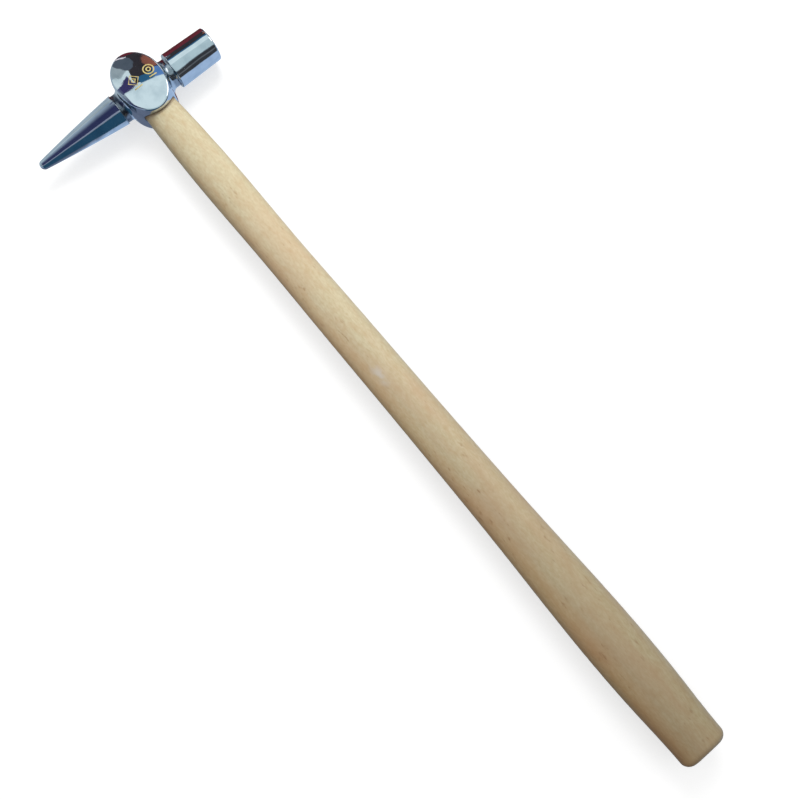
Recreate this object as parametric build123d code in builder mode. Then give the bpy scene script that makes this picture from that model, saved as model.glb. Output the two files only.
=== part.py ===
from build123d import *

import os

# A light, long-handled hammer with a chromed steel head. One end of the head is a round poll with
# a striking face, the other is a long tapered peen with a blunt tip, and the oval boss between
# them holds the eye that the wooden handle is wedged into.
#
# Millimetres. The hammer lies on its side: +X runs along the head towards the striking face, +Y
# runs up the handle towards the head, and +Z is square to the boss's two cheeks. The origin is
# under the middle of the whole hammer, on the surface that it lies on.

# ---- Driving dimensions, measured from the centre of the eye ----

face_reach = 43.5            # centre of the eye to the middle of the striking face
peen_reach = 66.9            # centre of the eye to the end of the peen
butt_reach = 422.0           # centre of the eye to the end of the handle

boss_length = 37.0           # along the handle
boss_width = 26.2            # along the head
boss_thickness = 24.0        # over the crowns of the two cheeks
cheek_crown_radius = 60.0
cheek_edge_radius = 1.2

poll_start = 17.4            # where the poll rises out of its neck
poll_root_diameter = 18.6
poll_face_diameter = 17.6
face_land_diameter = 9.0     # the flat middle of the striking face
face_crown = 0.7             # fall from that land to the bevel
face_edge_radius = 0.9

peen_start = 16.9            # where the peen rises out of its neck
peen_root_diameter = 16.2
peen_tip_diameter = 5.0
peen_bulge = 0.25            # how far the long taper swells outside a straight cone

neck_diameter = 14.9
neck_blend_radius = 2.8      # in the corners between the neck and the boss
poll_neck_radius = 1.0       # in the corner between the neck and the poll
poll_rim_radius = 0.5        # round the back edge of the poll
peen_neck_radius = 0.3
peen_rim_radius = 0.3

eye_waist_width = 18.0       # the eye is waisted, so that the wedged tenon can't pull out
eye_waist_thickness = 12.2
eye_mouth_width = 19.6
eye_mouth_thickness = 13.7
eye_mouth_chamfer = 0.6

tenon_root = 12.0            # the tenon fills the eye from here up, and clears its mouth below
tenon_stand = 0.5            # how far the wood stands out of the top of the boss
butt_crown_radius = 16.0     # from cheek to cheek
butt_edge_radius = 3.6

wood_wedge_depth = 25.0
wood_wedge_thickness = 3.2
wood_wedge_nose = 0.8

steel_wedge_depth = 15.0
steel_wedge_length = 8.4     # across the tenon
steel_wedge_thickness = 2.2
steel_wedge_nose = 0.5
steel_wedge_spacing = 9.4    # between the two wedges
steel_wedge_stand = 0.2      # how far the steel stands out of the wood
barb_depth = 0.35
barb_count = 3

# ---- Worked out from those ----

boss_half = boss_length / 2
EYE = Vector(
    (peen_reach - face_reach) / 2,
    (butt_reach - boss_half - tenon_stand) / 2,
    boss_thickness / 2,
)

# Handle sections from the eye to the butt: how far below the centre of the eye each one is, its
# width along the head and its thickness between the cheeks.
handle_sections = [
    (tenon_root, 18.4, 12.55),  # inside the eye, where the tenon begins
    (20.0, 19.3, 13.35),        # just clear of the eye
    (38.0, 20.8, 14.9),
    (66.0, 21.7, 16.1),         # shoulder
    (108.0, 21.0, 15.9),        # waist
    (160.0, 21.7, 16.7),
    (205.0, 22.2, 17.2),
    (250.0, 23.0, 17.9),
    (300.0, 24.8, 19.1),
    (346.0, 27.4, 20.9),        # palm swell
    (390.0, 26.5, 20.3),
    (butt_reach, 24.4, 18.8),   # butt
]


def plane_along_x(offset):
    """A plane square to the head, with its own x along +Y and its own y along +Z."""
    return Plane(EYE + Vector(offset, 0, 0), x_dir=(0, 1, 0), z_dir=(1, 0, 0))


def plane_along_y(offset):
    """A plane square to the handle, with its own x along +X and its own y along +Z."""
    return Plane(EYE + Vector(0, offset, 0), x_dir=(1, 0, 0), z_dir=(0, -1, 0))


def round_corner(sketch, corner, radius):
    """Round off the corner of a sketch that lies nearest to a point."""
    fillet(sketch.vertices().sort_by_distance(corner)[0], radius)


head_plan = Plane(EYE, x_dir=(1, 0, 0), z_dir=(0, 0, 1))
head_elevation = Plane(EYE, x_dir=(1, 0, 0), z_dir=(0, -1, 0))
handle_elevation = Plane(EYE, x_dir=(0, 1, 0), z_dir=(1, 0, 0))
head_axis = Axis(EYE, (1, 0, 0))
cheek_axis = Axis(EYE, (0, 0, 1))


# ---- Eye: the waisted form that the hole and the tenon share ----

eye_run = boss_half + 2.0

with BuildPart() as eye_form:
    for offset, width, thickness in (
        (-eye_run, eye_mouth_width, eye_mouth_thickness),
        (0, eye_waist_width, eye_waist_thickness),
        (eye_run, eye_mouth_width, eye_mouth_thickness),
    ):
        with BuildSketch(plane_along_y(offset)):
            Ellipse(width / 2, thickness / 2)
    loft()


# ---- Head ----

crown = boss_thickness / 2
crown_fall = cheek_crown_radius - (cheek_crown_radius**2 - boss_half**2) ** 0.5
poll_root_r = poll_root_diameter / 2
poll_face_r = poll_face_diameter / 2
peen_root_r = peen_root_diameter / 2
peen_tip_r = peen_tip_diameter / 2
neck_r = neck_diameter / 2
neck_end = boss_width / 2 + neck_blend_radius
land_r = face_land_diameter / 2
tip_centre = peen_reach - peen_tip_r
taper_mid_x = -(peen_start + tip_centre) / 2
taper_mid_r = (peen_root_r + peen_tip_r) / 2 + peen_bulge

with BuildPart() as hammer_head:
    # The oval boss, crowned on both cheeks.
    with BuildSketch(head_plan):
        Ellipse(boss_width / 2, boss_half)
    extrude(amount=crown, both=True)
    with BuildSketch(head_elevation):
        with BuildLine():
            RadiusArc((0, crown), (boss_half, crown - crown_fall), cheek_crown_radius)
            Line((boss_half, crown - crown_fall), (boss_half, crown_fall - crown))
            RadiusArc((boss_half, crown_fall - crown), (0, -crown), cheek_crown_radius)
            Line((0, -crown), (0, crown))
        make_face()
    revolve(axis=cheek_axis, mode=Mode.INTERSECT)
    fillet(hammer_head.edges().filter_by(GeomType.LINE, reverse=True), cheek_edge_radius)

    # The neck runs through the boss, and blends into its sides.
    with BuildSketch(plane_along_x(-peen_start)):
        Circle(neck_r)
    extrude(amount=peen_start + poll_start)
    fillet(hammer_head.edges(Select.NEW), neck_blend_radius)

    # The poll: a slightly tapered cylinder, with a striking face that is flat in its middle and
    # crowned around it.
    with BuildSketch(head_elevation) as poll_profile:
        with BuildLine():
            Polyline(
                (face_reach, land_r),
                (face_reach, 0),
                (neck_end, 0),
                (neck_end, neck_r),
                (poll_start, neck_r),
                (poll_start, poll_root_r),
                (face_reach - face_crown, poll_face_r),
            )
            TangentArc((face_reach, land_r), (face_reach - face_crown, poll_face_r), tangent=(0, 1))
        make_face()
        round_corner(poll_profile, (poll_start, neck_r), poll_neck_radius)
        round_corner(poll_profile, (poll_start, poll_root_r), poll_rim_radius)
        round_corner(poll_profile, (face_reach - face_crown, poll_face_r), face_edge_radius)
    revolve(axis=head_axis)

    # The peen: a long taper that swells a little, with a round tip.
    with BuildSketch(head_elevation) as peen_profile:
        with BuildLine():
            ThreePointArc(
                (-peen_start, peen_root_r),
                (taper_mid_x, taper_mid_r),
                (-tip_centre, peen_tip_r),
            )
            RadiusArc((-tip_centre, peen_tip_r), (-peen_reach, 0), -peen_tip_r)
            Polyline(
                (-peen_reach, 0),
                (-neck_end, 0),
                (-neck_end, neck_r),
                (-peen_start, neck_r),
                (-peen_start, peen_root_r),
            )
        make_face()
        round_corner(peen_profile, (-peen_start, neck_r), peen_neck_radius)
        round_corner(peen_profile, (-peen_start, peen_root_r), peen_rim_radius)
    revolve(axis=head_axis)

    # The eye, with a chamfer round both of its mouths.
    add(eye_form.part, mode=Mode.SUBTRACT)
    chamfer(hammer_head.edges(Select.NEW), eye_mouth_chamfer)


# ---- Forms that the wedges and the handle are cut with ----

tenon_top = boss_half + tenon_stand


def make_end_form(stand):
    """The boss's oval, grown by stand: it trims what comes out of the top of the eye."""
    with BuildPart() as end_form:
        with BuildSketch(head_plan):
            Ellipse(boss_width / 2 + stand, boss_half + stand)
        extrude(amount=boss_thickness, both=True)
    return end_form


wood_end = make_end_form(tenon_stand)
steel_end = make_end_form(tenon_stand + steel_wedge_stand)

with BuildPart() as tenon_form:
    add(eye_form.part)
    add(wood_end.part, mode=Mode.INTERSECT)
    split(bisect_by=plane_along_y(-tenon_root), keep=Keep.BOTTOM)

with BuildPart() as wood_wedge_form:
    with BuildSketch(handle_elevation):
        with BuildLine():
            Polyline(
                (tenon_top - wood_wedge_depth, wood_wedge_nose / 2),
                (tenon_top, wood_wedge_thickness / 2),
                (tenon_top, -wood_wedge_thickness / 2),
                (tenon_top - wood_wedge_depth, -wood_wedge_nose / 2),
                close=True,
            )
        make_face()
    extrude(amount=eye_mouth_width, both=True)


def barbed_side(x, side):
    """Points up one side of a steel wedge, from its nose to its top, stepping in above each barb."""
    growth = (steel_wedge_thickness - steel_wedge_nose) / 2 / steel_wedge_depth
    tooth = steel_wedge_depth / (barb_count + 1)
    points = []
    for step in range(barb_count + 1):
        foot = step * tooth
        barb = barb_depth if step < barb_count else 0
        for height, stand in ((foot, 0), (foot + tooth, barb)):
            half = steel_wedge_nose / 2 + growth * height + stand
            points.append((x + side * half, tenon_top + 1 - steel_wedge_depth + height))
    return points


def make_steel_wedge_form(x):
    """A barbed wedge across the wooden one, at x along the head, standing out of the tenon."""
    with BuildPart() as wedge_form:
        with BuildSketch(head_plan):
            with BuildLine():
                Polyline(*barbed_side(x, 1), *reversed(barbed_side(x, -1)), close=True)
            make_face()
        extrude(amount=steel_wedge_length / 2, both=True)
    return wedge_form


front_wedge_form = make_steel_wedge_form(steel_wedge_spacing / 2)
rear_wedge_form = make_steel_wedge_form(-steel_wedge_spacing / 2)


# ---- The wedges ----

with BuildPart() as steel_wedge_front:
    add(front_wedge_form.part)
    add(steel_end.part, mode=Mode.INTERSECT)

with BuildPart() as steel_wedge_rear:
    add(rear_wedge_form.part)
    add(steel_end.part, mode=Mode.INTERSECT)

with BuildPart() as wood_wedge:
    add(tenon_form.part)
    add(wood_wedge_form.part, mode=Mode.INTERSECT)
    add(front_wedge_form.part, mode=Mode.SUBTRACT)
    add(rear_wedge_form.part, mode=Mode.SUBTRACT)


# ---- Handle ----

with BuildPart() as handle:
    for below, width, thickness in handle_sections:
        with BuildSketch(plane_along_y(-below)):
            Ellipse(width / 2, thickness / 2)
    loft()

    # The butt is rounded over from cheek to cheek, and then round its edge.
    with BuildSketch(handle_elevation):
        with Locations((butt_crown_radius - butt_reach, 0)):
            Circle(butt_crown_radius)
            Rectangle(butt_reach, 2 * butt_crown_radius, align=(Align.MIN, Align.CENTER))
    extrude(amount=butt_crown_radius, both=True, mode=Mode.INTERSECT)
    butt_face = handle.faces().sort_by(Axis.Y)[0]
    fillet(butt_face.edges(), butt_edge_radius)

    # The tenon, with the slots that its wedges fill.
    add(tenon_form.part)
    add(wood_wedge_form.part, mode=Mode.SUBTRACT)
    add(front_wedge_form.part, mode=Mode.SUBTRACT)
    add(rear_wedge_form.part, mode=Mode.SUBTRACT)


# ---- Write the pieces ----

os.makedirs("parts", exist_ok=True)

hammer_head.part.label = "hammer_head"
export_step(hammer_head.part, "parts/hammer_head.step")

handle.part.label = "handle"
export_step(handle.part, "parts/handle.step")

wood_wedge.part.label = "wood_wedge"
export_step(wood_wedge.part, "parts/wood_wedge.step")

steel_wedge_front.part.label = "steel_wedge_front"
export_step(steel_wedge_front.part, "parts/steel_wedge_front.step")

steel_wedge_rear.part.label = "steel_wedge_rear"
export_step(steel_wedge_rear.part, "parts/steel_wedge_rear.step")
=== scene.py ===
"""A chrome-headed hammer with a long blond-wood handle, lying on a pale studio floor.

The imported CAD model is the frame, and its pieces stay where they are: this script gives them their
materials, replaces the head with a joined-up copy that reflects cleanly, adds the gold mark on the
cheek, and makes the floor, the lights and the camera. Lengths are in metres.
"""

import math

import bmesh
import bpy
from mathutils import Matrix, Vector


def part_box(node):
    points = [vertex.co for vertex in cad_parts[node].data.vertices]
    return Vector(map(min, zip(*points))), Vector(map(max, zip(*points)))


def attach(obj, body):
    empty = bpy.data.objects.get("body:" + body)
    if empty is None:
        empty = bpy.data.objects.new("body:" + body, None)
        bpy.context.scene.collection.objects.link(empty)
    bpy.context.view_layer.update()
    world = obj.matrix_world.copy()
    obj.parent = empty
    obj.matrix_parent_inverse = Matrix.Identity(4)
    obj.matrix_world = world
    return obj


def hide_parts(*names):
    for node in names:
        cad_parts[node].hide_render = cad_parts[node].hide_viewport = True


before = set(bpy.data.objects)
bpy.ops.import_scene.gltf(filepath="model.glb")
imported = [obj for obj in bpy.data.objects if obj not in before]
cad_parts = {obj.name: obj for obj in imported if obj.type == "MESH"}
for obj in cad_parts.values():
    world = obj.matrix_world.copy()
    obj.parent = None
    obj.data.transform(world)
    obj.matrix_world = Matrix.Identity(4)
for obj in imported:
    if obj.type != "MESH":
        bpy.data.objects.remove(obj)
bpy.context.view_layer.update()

MM = 0.001


# ---- Places that everything else is worked out from ----

handle_low, handle_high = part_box("handle")
head_low, head_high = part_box("hammer_head")
EYE = Vector((
    (handle_low.x + handle_high.x) / 2,
    (head_low.y + head_high.y) / 2,
    (head_low.z + head_high.z) / 2,
))
CHEEK_TOP = head_high.z
CHEEK_RADIUS = 60 * MM       # crown of the cheek
BOSS_REACH = Vector((13.1 * MM, 18.5 * MM, 1))  # half of the boss's oval, and endless upwards
GROOVE_X = 15.7 * MM         # middle of each neck, from the eye
NECK_END = 17 * MM           # past this the head is round about its own axis
PEEN_MIDDLE = EYE + Vector((-45 * MM, 0, 0))
SHOULDER_END = 20 * MM       # down the handle from the eye: the wood is still creamy here
GRIP_START = 100 * MM        # the wood darkens from here to the butt, from hands and from painted light falloff
WAIST_END = 170 * MM         # the wood is at its rosiest from here on
RUB = EYE + Vector((-3.5, -197, 8.3)) * MM  # a pale rub on the upper side of the handle
RUB_REACH = Vector((3.5, 8, 6)) * MM


# ---- Small helpers ----

def srgb(red, green, blue):
    """An RGBA linear colour from the 0 to 255 values seen on a screen."""
    linear = []
    for value in (red, green, blue):
        share = value / 255
        linear.append(share / 12.92 if share <= 0.04045 else ((share + 0.055) / 1.055) ** 2.4)
    return (*linear, 1.0)


def feed(tree, socket, value):
    """Give a socket a plain value or another node's output."""
    if isinstance(value, bpy.types.NodeSocket):
        tree.links.new(value, socket)
    else:
        socket.default_value = value


def add_node(tree, kind, inputs=None, **settings):
    """A new shader node; each input is a plain value or another node's output."""
    made = tree.nodes.new(kind)
    for name, value in settings.items():
        setattr(made, name, value)
    for name, value in (inputs or {}).items():
        feed(tree, made.inputs[name], value)
    return made


def new_material(name):
    """An empty principled material, with its tree and its shader node."""
    material = bpy.data.materials.new(name)
    material.use_nodes = True
    shader = material.node_tree.nodes["Principled BSDF"]
    return material, material.node_tree, shader


def place(tree, stretch=(1, 1, 1)):
    """The point on the object in metres, with each axis multiplied by its stretch."""
    point = add_node(tree, "ShaderNodeTexCoord").outputs["Object"]
    return add_node(tree, "ShaderNodeMapping", {"Vector": point, "Scale": stretch}).outputs["Vector"]


def noise(tree, point, scale, detail=3.0, roughness=0.5, distortion=0.0):
    """Smooth noise from 0 to 1, with about scale lumps to the metre."""
    made = add_node(tree, "ShaderNodeTexNoise", {
        "Vector": point,
        "Scale": scale,
        "Detail": detail,
        "Roughness": roughness,
        "Distortion": distortion,
    })
    return made.outputs["Fac"]


def remap(tree, value, low, high, to_low=0.0, to_high=1.0):
    """A value moved from one range to another, and held inside it."""
    made = add_node(tree, "ShaderNodeMapRange", {
        "Value": value,
        "From Min": low,
        "From Max": high,
        "To Min": to_low,
        "To Max": to_high,
    })
    return made.outputs["Result"]


def blend(tree, share, first, second, mode="MIX"):
    """First turning into second as share goes from 0 to 1."""
    made = add_node(tree, "ShaderNodeMix", data_type="RGBA", blend_type=mode)
    feed(tree, made.inputs[0], share)
    feed(tree, made.inputs[6], first)
    feed(tree, made.inputs[7], second)
    return made.outputs[2]


def multiply_colour(tree, first, second):
    """Two colours multiplied together."""
    return blend(tree, 1.0, first, second, "MULTIPLY")


def arithmetic(tree, operation, first, second=0.0):
    """One sum on two numbers."""
    made = add_node(tree, "ShaderNodeMath", {0: first, 1: second}, operation=operation)
    return made.outputs["Value"]


def multiply(tree, first, second):
    """Two numbers multiplied together."""
    return arithmetic(tree, "MULTIPLY", first, second)


def vector_sum(tree, operation, first, second):
    """One sum on two vectors."""
    made = add_node(tree, "ShaderNodeVectorMath", {0: first, 1: second}, operation=operation)
    return made.outputs["Vector"]


def spread(tree, centre, reach):
    """How far each point of the object is from centre, counted in reaches along each axis."""
    point = add_node(tree, "ShaderNodeTexCoord").outputs["Object"]
    scaled = vector_sum(tree, "DIVIDE", vector_sum(tree, "SUBTRACT", point, centre), reach)
    return add_node(tree, "ShaderNodeVectorMath", {0: scaled}, operation="LENGTH").outputs["Value"]


def bump(tree, height, distance, below=None):
    """A normal that height, from 0 to 1, lifts by up to distance, on top of the bump below."""
    inputs = {"Height": height, "Distance": distance}
    if below is not None:
        inputs["Normal"] = below
    return add_node(tree, "ShaderNodeBump", inputs).outputs["Normal"]


def finish_surface(tree, shader, colour, rough, normal):
    """Join a material's colour, roughness and normal to its shader."""
    tree.links.new(colour, shader.inputs["Base Color"])
    tree.links.new(rough, shader.inputs["Roughness"])
    tree.links.new(normal, shader.inputs["Normal"])


def add_object(name, data):
    """A new object in the scene."""
    made = bpy.data.objects.new(name, data)
    bpy.context.scene.collection.objects.link(made)
    return made


# ---- Materials ----

def groove_shade_and_grime(tree, point):
    """Painted shade with some grime: from 0 on clean chrome to 1 in the two grooves, patchy, and
    thinner on the poll's side.
    """
    x = add_node(tree, "ShaderNodeSeparateXYZ", {"Vector": point}).outputs["X"]
    from_eye = arithmetic(tree, "SUBTRACT", x, EYE.x)
    to_one_side = arithmetic(tree, "ABSOLUTE", from_eye)
    from_groove = arithmetic(tree, "ABSOLUTE", arithmetic(tree, "SUBTRACT", to_one_side, GROOVE_X))
    shade_and_grime = remap(tree, from_groove, 1.1 * MM, 2.2 * MM, 1.0, 0.0)
    by_side = remap(tree, from_eye, -10 * MM, 10 * MM, 1.0, 0.6)
    patches = remap(tree, noise(tree, point, 400, detail=3), 0.3, 0.6, 0.7, 1)
    return multiply(tree, multiply(tree, shade_and_grime, by_side), patches)


def make_chrome():
    """Polished chrome: a little uneven, faintly smudged, and darkened and dulled in the two grooves by
    painted shade and some grime.
    """
    material, tree, shader = new_material("chrome_plate")
    point = place(tree)
    smudge = remap(tree, noise(tree, point, 140, detail=5), 0.45, 0.75)
    shade_and_grime = groove_shade_and_grime(tree, point)
    colour = blend(tree, smudge, srgb(228, 235, 240), srgb(203, 213, 220))
    # painted shade, with some grime: the chrome turns dark grey in the two grooves
    colour = blend(tree, shade_and_grime, colour, srgb(84, 90, 104))
    smudge_rough = remap(tree, smudge, 0, 1, 0.03, 0.085)
    rough = arithmetic(tree, "ADD", smudge_rough, remap(tree, shade_and_grime, 0, 1, 0, 0.24))
    hairline = noise(tree, place(tree, (0.06, 1, 1)), 9000, detail=2)
    waves = bump(tree, noise(tree, point, 75, detail=1), 0.35 * MM)
    ripple = bump(tree, noise(tree, point, 330, detail=2), 0.02 * MM, waves)
    finish_surface(tree, shader, colour, rough, bump(tree, hairline, 0.0004 * MM, ripple))
    shader.inputs["Metallic"].default_value = 1.0
    return material


def wood_figure(tree, grain, mottle, towards_middle):
    """The colour of the wood when new: grain, mottling, long streaks, and rosier past the waist."""
    streak = noise(tree, place(tree, (1, 0.05, 1)), 240, detail=3, distortion=0.5)
    cloud = noise(tree, place(tree, (1, 0.3, 1)), 52, detail=2)
    colour = blend(tree, remap(tree, grain, 0.35, 0.68), srgb(226, 215, 180), srgb(211, 195, 154))
    colour = blend(tree, remap(tree, mottle, 0.46, 0.70, 0, 0.55), colour, srgb(209, 184, 141))
    colour = blend(tree, remap(tree, streak, 0.50, 0.74, 0, 0.25), colour, srgb(196, 167, 122))
    rosy = multiply(tree, remap(tree, cloud, 0.42, 0.66, 0, 0.55), towards_middle)
    return blend(tree, rosy, colour, srgb(214, 180, 144))


def add_flecks(tree, colour, towards_middle):
    """The colour with small brown flecks in patches, and fewer of them near the head."""
    flecks = noise(tree, place(tree, (1, 0.3, 1)), 620, detail=2)
    patches = noise(tree, place(tree, (1, 0.4, 1)), 90, detail=2)
    share = multiply(tree, remap(tree, flecks, 0.62, 0.74, 0, 0.62), remap(tree, patches, 0.46, 0.60))
    share = multiply(tree, share, remap(tree, towards_middle, 0, 1, 0.35, 1))
    return blend(tree, share, colour, srgb(166, 124, 80))


def add_handling_and_painted_shade(tree, colour, position, towards_middle):
    """The colour darkened towards the butt by hands and by painted light falloff, with painted shade
    on the peen's side.
    """
    towards_butt = remap(tree, position.outputs["Y"], EYE.y - GRIP_START, handle_low.y)
    handling_and_falloff = blend(tree, towards_middle, (0.94, 0.95, 0.965, 1), (0.985, 0.97, 0.985, 1))
    # painted light falloff, partly hand-darkening: the wood darkens towards the butt
    handling_and_falloff = blend(tree, towards_butt, handling_and_falloff, (0.505, 0.475, 0.435, 1))
    colour = multiply_colour(tree, colour, handling_and_falloff)
    across = arithmetic(tree, "SUBTRACT", position.outputs["X"], EYE.x)
    # painted shade on the peen's side: darker brown near the head, warmer further down
    painted_side_shade = remap(tree, across, -4 * MM, -11 * MM, 0, 0.7)
    side_shade_tint = blend(tree, towards_middle, (0.87, 0.76, 0.66, 1), (1.26, 1.03, 0.83, 1))
    return blend(tree, painted_side_shade, colour, multiply_colour(tree, colour, side_shade_tint))


def add_rub_and_joint_shade(tree, colour, mottle):
    """The colour with one pale rub on it, and brown painted shade, with some grime, where the wood
    meets the head.
    """
    rub = remap(tree, spread(tree, RUB, RUB_REACH), 0.2, 1, 1, 0)
    rub = multiply(tree, rub, remap(tree, mottle, 0.42, 0.56, 0, 0.8))
    colour = blend(tree, rub, colour, srgb(208, 198, 186))
    # painted shade with some grime: the wood turns brown just below the head's boss
    joint_shade_and_grime = remap(tree, spread(tree, EYE, BOSS_REACH), 1.0, 1.09, 0.7, 0)
    return blend(tree, joint_shade_and_grime, colour, srgb(120, 88, 66))


def make_lacquered_wood():
    """Pale beech under satin lacquer: creamy at the head, rosier from the waist, brown at the butt
    from handling and painted light falloff, with painted shade on one side and below the head.
    """
    material, tree, shader = new_material("lacquered_beech")
    grain = noise(tree, place(tree, (1, 0.3, 1)), 1300, detail=5, roughness=0.6)
    mottle = noise(tree, place(tree, (1, 0.42, 1)), 330, detail=4, roughness=0.55)
    position = add_node(tree, "ShaderNodeSeparateXYZ", {"Vector": place(tree)})
    towards_middle = remap(tree, position.outputs["Y"], EYE.y - SHOULDER_END, EYE.y - WAIST_END)
    colour = wood_figure(tree, grain, mottle, towards_middle)
    colour = add_flecks(tree, colour, towards_middle)
    colour = add_handling_and_painted_shade(tree, colour, position, towards_middle)
    colour = add_rub_and_joint_shade(tree, colour, mottle)
    rough = remap(tree, grain, 0.3, 0.7, 0.40, 0.54)
    normal = bump(tree, mottle, 0.03 * MM, bump(tree, grain, 0.015 * MM))
    finish_surface(tree, shader, colour, rough, normal)
    shader.inputs["Specular IOR Level"].default_value = 0.36
    shader.inputs["Coat Weight"].default_value = 0.08
    shader.inputs["Coat Roughness"].default_value = 0.28
    return material


def make_wedge_wood():
    """The sawn wooden wedge, browner than the handle."""
    material, tree, shader = new_material("wedge_wood")
    fibres = noise(tree, place(tree, (1, 0.1, 1)), 1200, detail=4)
    colour = blend(tree, remap(tree, fibres, 0.3, 0.7), srgb(176, 140, 96), srgb(128, 94, 60))
    rough = remap(tree, fibres, 0.3, 0.7, 0.6, 0.8)
    finish_surface(tree, shader, colour, rough, bump(tree, fibres, 0.08 * MM))
    return material


def make_gold_paint():
    """Thin gold paint, patchy where it is worn."""
    material, tree, shader = new_material("gold_paint")
    wear = remap(tree, noise(tree, place(tree), 1800, detail=4), 0.4, 0.65)
    colour = blend(tree, wear, srgb(222, 206, 134), srgb(182, 164, 104))
    rough = remap(tree, wear, 0, 1, 0.35, 0.6)
    finish_surface(tree, shader, colour, rough, bump(tree, wear, 0.02 * MM))
    return material


def make_wedge_steel():
    """Dull steel with a beaten top and a little rust in its hollows."""
    material, tree, shader = new_material("wedge_steel")
    point = place(tree)
    dents = noise(tree, point, 900, detail=4)
    rust = remap(tree, noise(tree, point, 500, detail=5), 0.55, 0.7)
    colour = blend(tree, rust, srgb(150, 148, 145), srgb(112, 82, 62))
    rough = remap(tree, rust, 0, 1, 0.32, 0.75)
    finish_surface(tree, shader, colour, rough, bump(tree, dents, 0.08 * MM))
    shader.inputs["Metallic"].default_value = 1.0
    return material


CHROME = make_chrome()

for node_name, node_material in (
    ("hammer_head", CHROME),
    ("handle", make_lacquered_wood()),
    ("wood_wedge", make_wedge_wood()),
    ("steel_wedge_front", make_wedge_steel()),
    ("steel_wedge_rear", make_wedge_steel()),
):
    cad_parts[node_name].material_slots[0].material = node_material


# ---- Head: the CAD head with its faces joined up, so that the chrome reflects without a seam ----

SHARP_ANGLE = math.radians(35)
WELD_DISTANCE = 0.0005 * MM
ON_AXIS = 0.01 * MM          # nearer to the head's axis than this counts as on it
ON_CHEEK = 0.002 * MM        # nearer to the crown's sphere than this counts as on it


def exact_normal(point, normal, slope):
    """The surface's own direction at a point where it is known: round the axis, or on a cheek."""
    from_eye = point - EYE
    if abs(from_eye.x) > NECK_END:
        radial = Vector((0, from_eye.y, from_eye.z))
        if radial.length < ON_AXIS:
            return Vector((math.copysign(1, from_eye.x), 0, 0))
        return Vector((slope, 0, 0)) + radial.normalized() * math.sqrt(max(0, 1 - slope * slope))
    for side in (1, -1):
        middle = Vector((0, 0, side * (CHEEK_TOP - EYE.z - CHEEK_RADIUS)))
        out = from_eye - middle
        if side * from_eye.z > 0 and abs(out.length - CHEEK_RADIUS) < ON_CHEEK:
            return out.normalized()
    return normal


def welded_copy(source, name):
    """A copy of a mesh with its touching points joined, and its edges sharp only where they are."""
    mesh = bpy.data.meshes.new(name)
    builder = bmesh.new()
    builder.from_mesh(source)
    bmesh.ops.remove_doubles(builder, verts=builder.verts, dist=WELD_DISTANCE)
    for face in builder.faces:
        face.smooth = True
    for edge in builder.edges:
        edge.smooth = edge.calc_face_angle(0) < SHARP_ANGLE
    builder.to_mesh(mesh)
    builder.free()
    if "custom_normal" in mesh.attributes:
        mesh.attributes.remove(mesh.attributes["custom_normal"])
    return mesh


def make_chrome_head():
    """The welded head, with one slope for all the points of each ring round its axis."""
    mesh = welded_copy(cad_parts["hammer_head"].data, "chrome_head")
    slopes = {}
    for vertex in mesh.vertices:
        ring = slopes.setdefault(round(vertex.co.x / MM, 3), [])
        ring.append(mesh.vertex_normals[vertex.index].vector.x)
    normals = []
    for loop in mesh.loops:
        point = mesh.vertices[loop.vertex_index].co
        ring = slopes[round(point.x / MM, 3)]
        smooth_normal = mesh.corner_normals[loop.index].vector.copy()
        normals.append(exact_normal(point, smooth_normal, sum(ring) / len(ring)))
    mesh.normals_split_custom_set(normals)
    mesh.materials.append(CHROME)
    head = add_object("chrome_head", mesh)
    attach(head, "root")
    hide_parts("hammer_head")


make_chrome_head()


# ---- Gold mark on the upper cheek: lozenges and rings over bars, in raised strokes of paint ----

STROKE_HALF_WIDTH = 0.4 * MM
STROKE_PROFILE = [           # across the stroke in half widths, and height out of the chrome
    (-1, -0.03 * MM),
    (-0.6, 0.04 * MM),
    (0, 0.05 * MM),
    (0.6, 0.04 * MM),
    (1, -0.03 * MM),
]
LOZENGE_MIDDLE = Vector((-2.7, 0.2)) * MM  # from the middle of the eye
LOZENGES = [                 # half of each one's width and height
    (3.1 * MM, 3.4 * MM),
    (1.2 * MM, 1.3 * MM),
]
RING_MIDDLE = Vector((7.0, 0.8)) * MM
RINGS = [                    # radius, and points round it
    (2.7 * MM, 28),
    (1.1 * MM, 16),
]
BARS = [                     # middle and length
    (LOZENGE_MIDDLE - Vector((0, 4.6 * MM)), 4.8 * MM),
    (RING_MIDDLE - Vector((0, 4.1 * MM)), 4.4 * MM),
]


def cheek_point(x, y, stand):
    """A point on the upper cheek, x and y from the middle of the eye, standing out of the chrome."""
    middle = Vector((EYE.x, EYE.y, CHEEK_TOP - CHEEK_RADIUS))
    height = math.sqrt(CHEEK_RADIUS**2 - x * x - y * y)
    out = Vector((x, y, height)).normalized()
    return middle + out * (CHEEK_RADIUS + stand)


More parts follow.
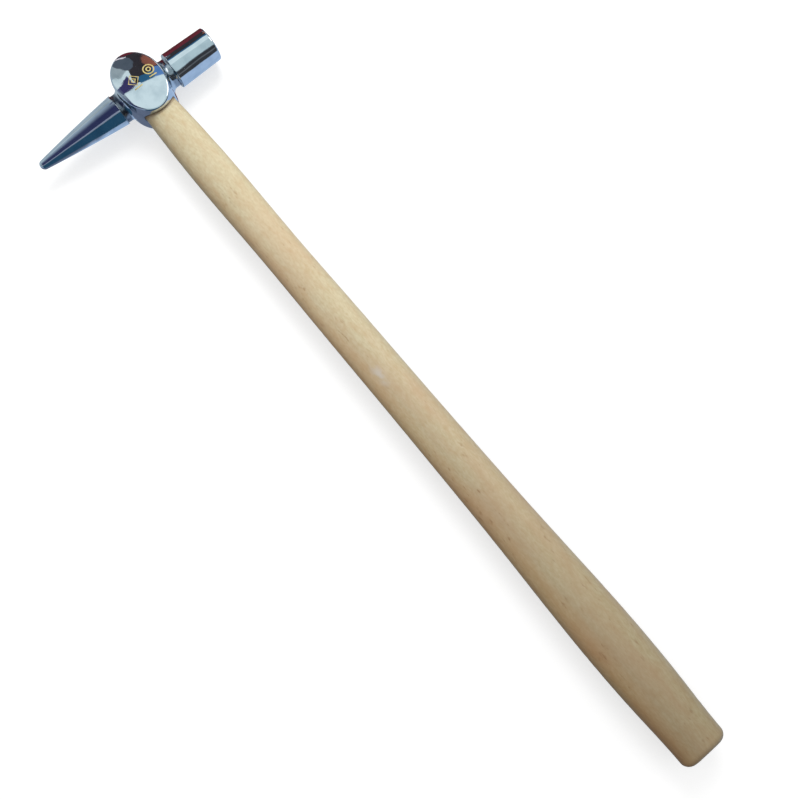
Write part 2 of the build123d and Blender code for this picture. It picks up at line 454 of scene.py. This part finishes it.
def add_stroke(builder, points, closed):
    """A raised line of paint through points on the cheek."""
    count = len(points)
    rings = []
    for index, point in enumerate(points):
        before = points[index - 1] if closed or index > 0 else point
        after = points[(index + 1) % count] if closed or index < count - 1 else point
        heading = (after - before).normalized()
        across = Vector((-heading.y, heading.x)) * STROKE_HALF_WIDTH
        ring = []
        for share, stand in STROKE_PROFILE:
            beside = point + across * share
            ring.append(builder.verts.new(cheek_point(beside.x, beside.y, stand)))
        rings.append(ring)
    sides = len(STROKE_PROFILE)
    for index in range(count if closed else count - 1):
        here = rings[index]
        there = rings[(index + 1) % count]
        for side in range(sides):
            far = (side + 1) % sides
            builder.faces.new((here[side], there[side], there[far], here[far]))
    if not closed:
        builder.faces.new(rings[0])
        builder.faces.new(reversed(rings[-1]))


def ring_points(centre, radius_x, radius_y, count):
    """Points round an ellipse; a count of 4 makes a lozenge."""
    points = []
    for index in range(count):
        angle = math.tau * index / count
        points.append(centre + Vector((radius_x * math.cos(angle), radius_y * math.sin(angle))))
    return points


def bar_points(centre, length):
    """Points along a short bar in line with the head."""
    return [centre + Vector((length * (step / 4 - 0.5), 0)) for step in range(5)]


def make_gold_mark():
    """Two nested lozenges and two nested rings, each pair over a short bar."""
    builder = bmesh.new()
    for half_width, half_height in LOZENGES:
        add_stroke(builder, ring_points(LOZENGE_MIDDLE, half_width, half_height, 4), True)
    for radius, count in RINGS:
        add_stroke(builder, ring_points(RING_MIDDLE, radius, radius, count), True)
    for middle, length in BARS:
        add_stroke(builder, bar_points(middle, length), False)
    bmesh.ops.recalc_face_normals(builder, faces=builder.faces)
    mesh = bpy.data.meshes.new("gold_mark")
    builder.to_mesh(mesh)
    builder.free()
    mesh.shade_smooth()
    mesh.materials.append(make_gold_paint())
    mark = add_object("gold_mark", mesh)
    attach(mark, "root")


make_gold_mark()


# ---- Floor: paper that is bright by itself, so that only the hammer's shadow shows on it ----

FLOOR_HALF = 6.0
FLOOR_GLOW = 0.62


def make_floor():
    """A wide flat sheet, which the chrome and the wood don't see."""
    corners = []
    for x, y in ((-1, -1), (1, -1), (1, 1), (-1, 1)):
        corners.append((x * FLOOR_HALF, y * FLOOR_HALF, 0))
    mesh = bpy.data.meshes.new("floor")
    mesh.from_pydata(corners, [], [(0, 1, 2, 3)])
    material, _, shader = new_material("paper")
    shader.inputs["Base Color"].default_value = (0.5, 0.5, 0.5, 1)
    shader.inputs["Roughness"].default_value = 0.9
    shader.inputs["Emission Color"].default_value = (1, 1, 1, 1)
    shader.inputs["Emission Strength"].default_value = FLOOR_GLOW
    material.cycles.emission_sampling = "NONE"
    mesh.materials.append(material)
    floor = add_object("floor", mesh)
    floor.visible_glossy = False
    floor.visible_diffuse = False


make_floor()


# ---- Light ----
#
# The floor and the wood are lit by an even white room and one soft lamp. The chrome reflects a set
# of coloured cards instead, which only reflections see. A card's place is given as it is seen from
# the head: pitch from 0, level and beyond the head, over 90, straight up, to 180, level and towards
# the butt; and yaw towards the striking face. A crisp or round card has a sharp edge, a soft one a
# blurred edge, and a fading one comes in slowly from its lowest pitch. The lamp's colour is over
# 255, which is brighter than white.

ROOM_LIGHT = 1.0
ROOM_SHADE = 0.06            # what is left of it on the side away from the lamp
LAMP_SIDE = (0.45, 0.45, 0.77)  # the way that most of the light comes from
LAMP_PLACE = Vector((0.35, 0.45, 0.6))
LAMP_SIZE = 0.35
LAMP_POWER = 2.6
CARD_DISTANCE = 1.6
CARD_GLOW = 1.15
CARD_STEP = 0.02             # each card hangs this much nearer than the one before it
CARD_CELLS = 12              # along each side of a card
FADE_RATE = 2.2              # a fading card is whole after 1 / 2.2 of its height

CARDS = [
    # name, yaw from, to, pitch from, to, roll, kind, colour
    ("low_grey", -60, 6, -62, 49, 0, "crisp", (156, 170, 180)),
    ("low_red", 6, 24, -62, 50, 0, "crisp", (88, 32, 34)),
    ("red_shade", 3, 7, -62, 50, 0, "crisp", (50, 44, 52)),
    ("red_ledge", -1, 24, -8, 26, 0, "crisp", (98, 28, 38)),
    ("far_shade", 17, 76, -62, 56, 0, "soft", (66, 72, 86)),
    ("teal_wall", -60, -2, 138, 220, 0, "crisp", (20, 62, 88)),
    ("dark_wall", -2, 60, 139, 189, 0, "soft", (46, 46, 49)),
    ("dark_wall_sheen", 0, 60, 158, 166, 0, "soft", (88, 90, 94)),
    ("left_shade", -80, -4, 212, 304, 0, "soft", (88, 98, 120)),
    ("white_patch", -30, 12, 36, 68, -8, "crisp", (202, 216, 218)),
    ("dark_shelf", 3, 50, 24, 62, -8, "crisp", (44, 38, 40)),
    ("rust_box", 16, 34, 28, 49, -8, "round", (138, 80, 62)),
    ("grey_bag", -3, 10, 17, 41, 12, "round", (74, 82, 92)),
    ("bag_side", -10, -1, 20, 42, 16, "soft", (150, 161, 165)),
    ("shelf_edge", -3, 9, 20.4, 22, -22, "crisp", (220, 208, 212)),
    ("shelf_end", 15, 28, 27, 28.6, -40, "crisp", (220, 208, 212)),
    ("blue_band", 3, 22, 54, 68, -10, "crisp", (36, 86, 120)),
    ("sky_band", 19, 50, 52, 70, -10, "crisp", (86, 126, 180)),
    ("purple_box", -16, 0, 46, 61, 8, "crisp", (50, 44, 88)),
    ("ceiling", -60, 70, 62, 136, -7, "crisp", (176, 195, 200)),
    ("ceiling_edge", -60, 70, 61, 92, -7, "soft", (205, 220, 223)),
    ("window", 38, 64, 4, 44, 0, "soft", (250, 253, 255)),
    ("lamp", 30, 70, 72, 118, 0, "round", (380, 380, 380)),
]

# A few small cards hang close over the peen, and only it reflects them.
PEEN_CARD_DISTANCE = 0.045
PEEN_CARD_STEP = 0.001
PEEN_CARDS = [
    ("peen_grey", -66, 40, 40, 128, 0, "soft", (134, 149, 165)),
    ("peen_purple", -66, 40, 56, 128, 0, "fading", (41, 45, 80)),
    ("peen_line", -66, 40, 124, 134, 0, "soft", (128, 134, 154)),
]


def make_world():
    """White that fades away from the lamp; grey over blue for reflections; pale for the camera."""
    world = bpy.data.worlds.new("studio")
    world.use_nodes = True
    tree = world.node_tree
    direction = add_node(tree, "ShaderNodeTexCoord").outputs["Generated"]
    up = add_node(tree, "ShaderNodeSeparateXYZ", {"Vector": direction}).outputs["Z"]
    reflected = blend(tree, remap(tree, up, -0.1, 0.1), srgb(168, 192, 224), srgb(120, 130, 140))
    towards_lamp = add_node(
        tree, "ShaderNodeVectorMath", {0: direction, 1: LAMP_SIDE}, operation="DOT_PRODUCT"
    ).outputs["Value"]
    even = remap(tree, towards_lamp, -0.6, 1, ROOM_SHADE, ROOM_LIGHT)
    even = add_node(tree, "ShaderNodeCombineColor", {"Red": even, "Green": even, "Blue": even})
    ray = add_node(tree, "ShaderNodeLightPath")
    colour = blend(tree, ray.outputs["Is Glossy Ray"], even.outputs["Color"], reflected)
    colour = blend(tree, ray.outputs["Is Camera Ray"], colour, srgb(240, 241, 243))
    tree.links.new(colour, tree.nodes["Background"].inputs["Color"])
    world.cycles.sampling_method = "NONE"
    bpy.context.scene.world = world


def dome_direction(yaw, pitch):
    """The direction of a place on the dome of cards, from degrees."""
    yaw = math.radians(yaw)
    pitch = math.radians(pitch)
    return Vector((math.sin(yaw), math.cos(yaw) * math.cos(pitch), math.cos(yaw) * math.sin(pitch)))


def rounded(across, along):
    """A place in a square from -1 to 1, moved to its place in a disc."""
    return (
        across * math.sqrt(1 - along * along / 2),
        along * math.sqrt(1 - across * across / 2),
    )


def card_glow(kind, row, column):
    """How much of a card there is, from 0 to 1, at a point of its grid."""
    if kind == "fading":
        return min(1.0, FADE_RATE * row / CARD_CELLS)
    at_edge = row in (0, CARD_CELLS) or column in (0, CARD_CELLS)
    return 0.0 if kind == "soft" and at_edge else 1.0


def make_card_material(name, colour):
    """Light of one colour, and nothing where the card's glow is 0."""
    material, tree, shader = new_material(name)
    shader.inputs["Base Color"].default_value = (0, 0, 0, 1)
    shader.inputs["Emission Color"].default_value = srgb(*colour)
    shader.inputs["Emission Strength"].default_value = CARD_GLOW
    glow = add_node(tree, "ShaderNodeAttribute", attribute_name="glow").outputs["Fac"]
    tree.links.new(glow, shader.inputs["Alpha"])
    material.cycles.emission_sampling = "NONE"
    return material


def add_card(name, centre, distance, yaw_from, yaw_to, pitch_from, pitch_to, roll, kind, colour):
    """A glowing card across that part of a dome round centre, which only reflections see."""
    yaw_middle = (yaw_from + yaw_to) / 2
    pitch_middle = (pitch_from + pitch_to) / 2
    turn = math.radians(roll)
    points = []
    glow = []
    for row in range(CARD_CELLS + 1):
        for column in range(CARD_CELLS + 1):
            across = 2 * column / CARD_CELLS - 1
            along = 2 * row / CARD_CELLS - 1
            if kind == "round":
                across, along = rounded(across, along)
            across *= (yaw_to - yaw_from) / 2
            along *= (pitch_to - pitch_from) / 2
            yaw = yaw_middle + across * math.cos(turn) + along * math.sin(turn)
            pitch = pitch_middle + along * math.cos(turn) - across * math.sin(turn)
            points.append(centre + dome_direction(yaw, pitch) * distance)
            glow.append(card_glow(kind, row, column))
    faces = []
    for row in range(CARD_CELLS):
        for column in range(CARD_CELLS):
            corner = row * (CARD_CELLS + 1) + column
            above = corner + CARD_CELLS + 1
            faces.append((corner, corner + 1, above + 1, above))
    mesh = bpy.data.meshes.new(name)
    mesh.from_pydata(points, [], faces)
    mesh.attributes.new("glow", "FLOAT", "POINT").data.foreach_set("value", glow)
    mesh.materials.append(make_card_material(name, colour))
    card = add_object(name, mesh)
    card.visible_camera = False
    card.visible_diffuse = False
    card.visible_shadow = False
    card.visible_transmission = False


def make_lamp():
    """One soft square lamp, turned to the middle of the hammer, which the chrome doesn't reflect."""
    light = bpy.data.lights.new("key", "AREA")
    light.size = LAMP_SIZE
    light.energy = LAMP_POWER
    lamp = add_object("key", light)
    lamp.location = LAMP_PLACE
    lamp.rotation_euler = (-LAMP_PLACE).to_track_quat("-Z", "Y").to_euler()
    lamp.visible_camera = False
    lamp.visible_glossy = False


make_world()
for index, (name, *where, colour) in enumerate(CARDS):
    add_card(name, EYE, CARD_DISTANCE - index * CARD_STEP, *where, colour)
for index, (name, *where, colour) in enumerate(PEEN_CARDS):
    add_card(name, PEEN_MIDDLE, PEEN_CARD_DISTANCE - index * PEEN_CARD_STEP, *where, colour)
make_lamp()


# ---- Camera ----

LENS = 35                    # mm
SENSOR_WIDTH = 36            # mm
CAMERA_OFFSET = Vector((-44.8, -263.9, 371.1)) * MM  # from the middle of the eye
CAMERA_TURN = (0.179, 0.0036, -0.6951)      # radians about X, Y and Z


def make_camera():
    """Above the handle, a little nearer to the butt than to the head, and looking down."""
    data = bpy.data.cameras.new("camera")
    data.lens = LENS
    data.sensor_width = SENSOR_WIDTH
    camera = add_object("camera", data)
    camera.location = EYE + CAMERA_OFFSET
    camera.rotation_mode = "YXZ"
    camera.rotation_euler = CAMERA_TURN
    bpy.context.scene.camera = camera


make_camera()
bpy.context.scene.view_settings.view_transform = "Standard"
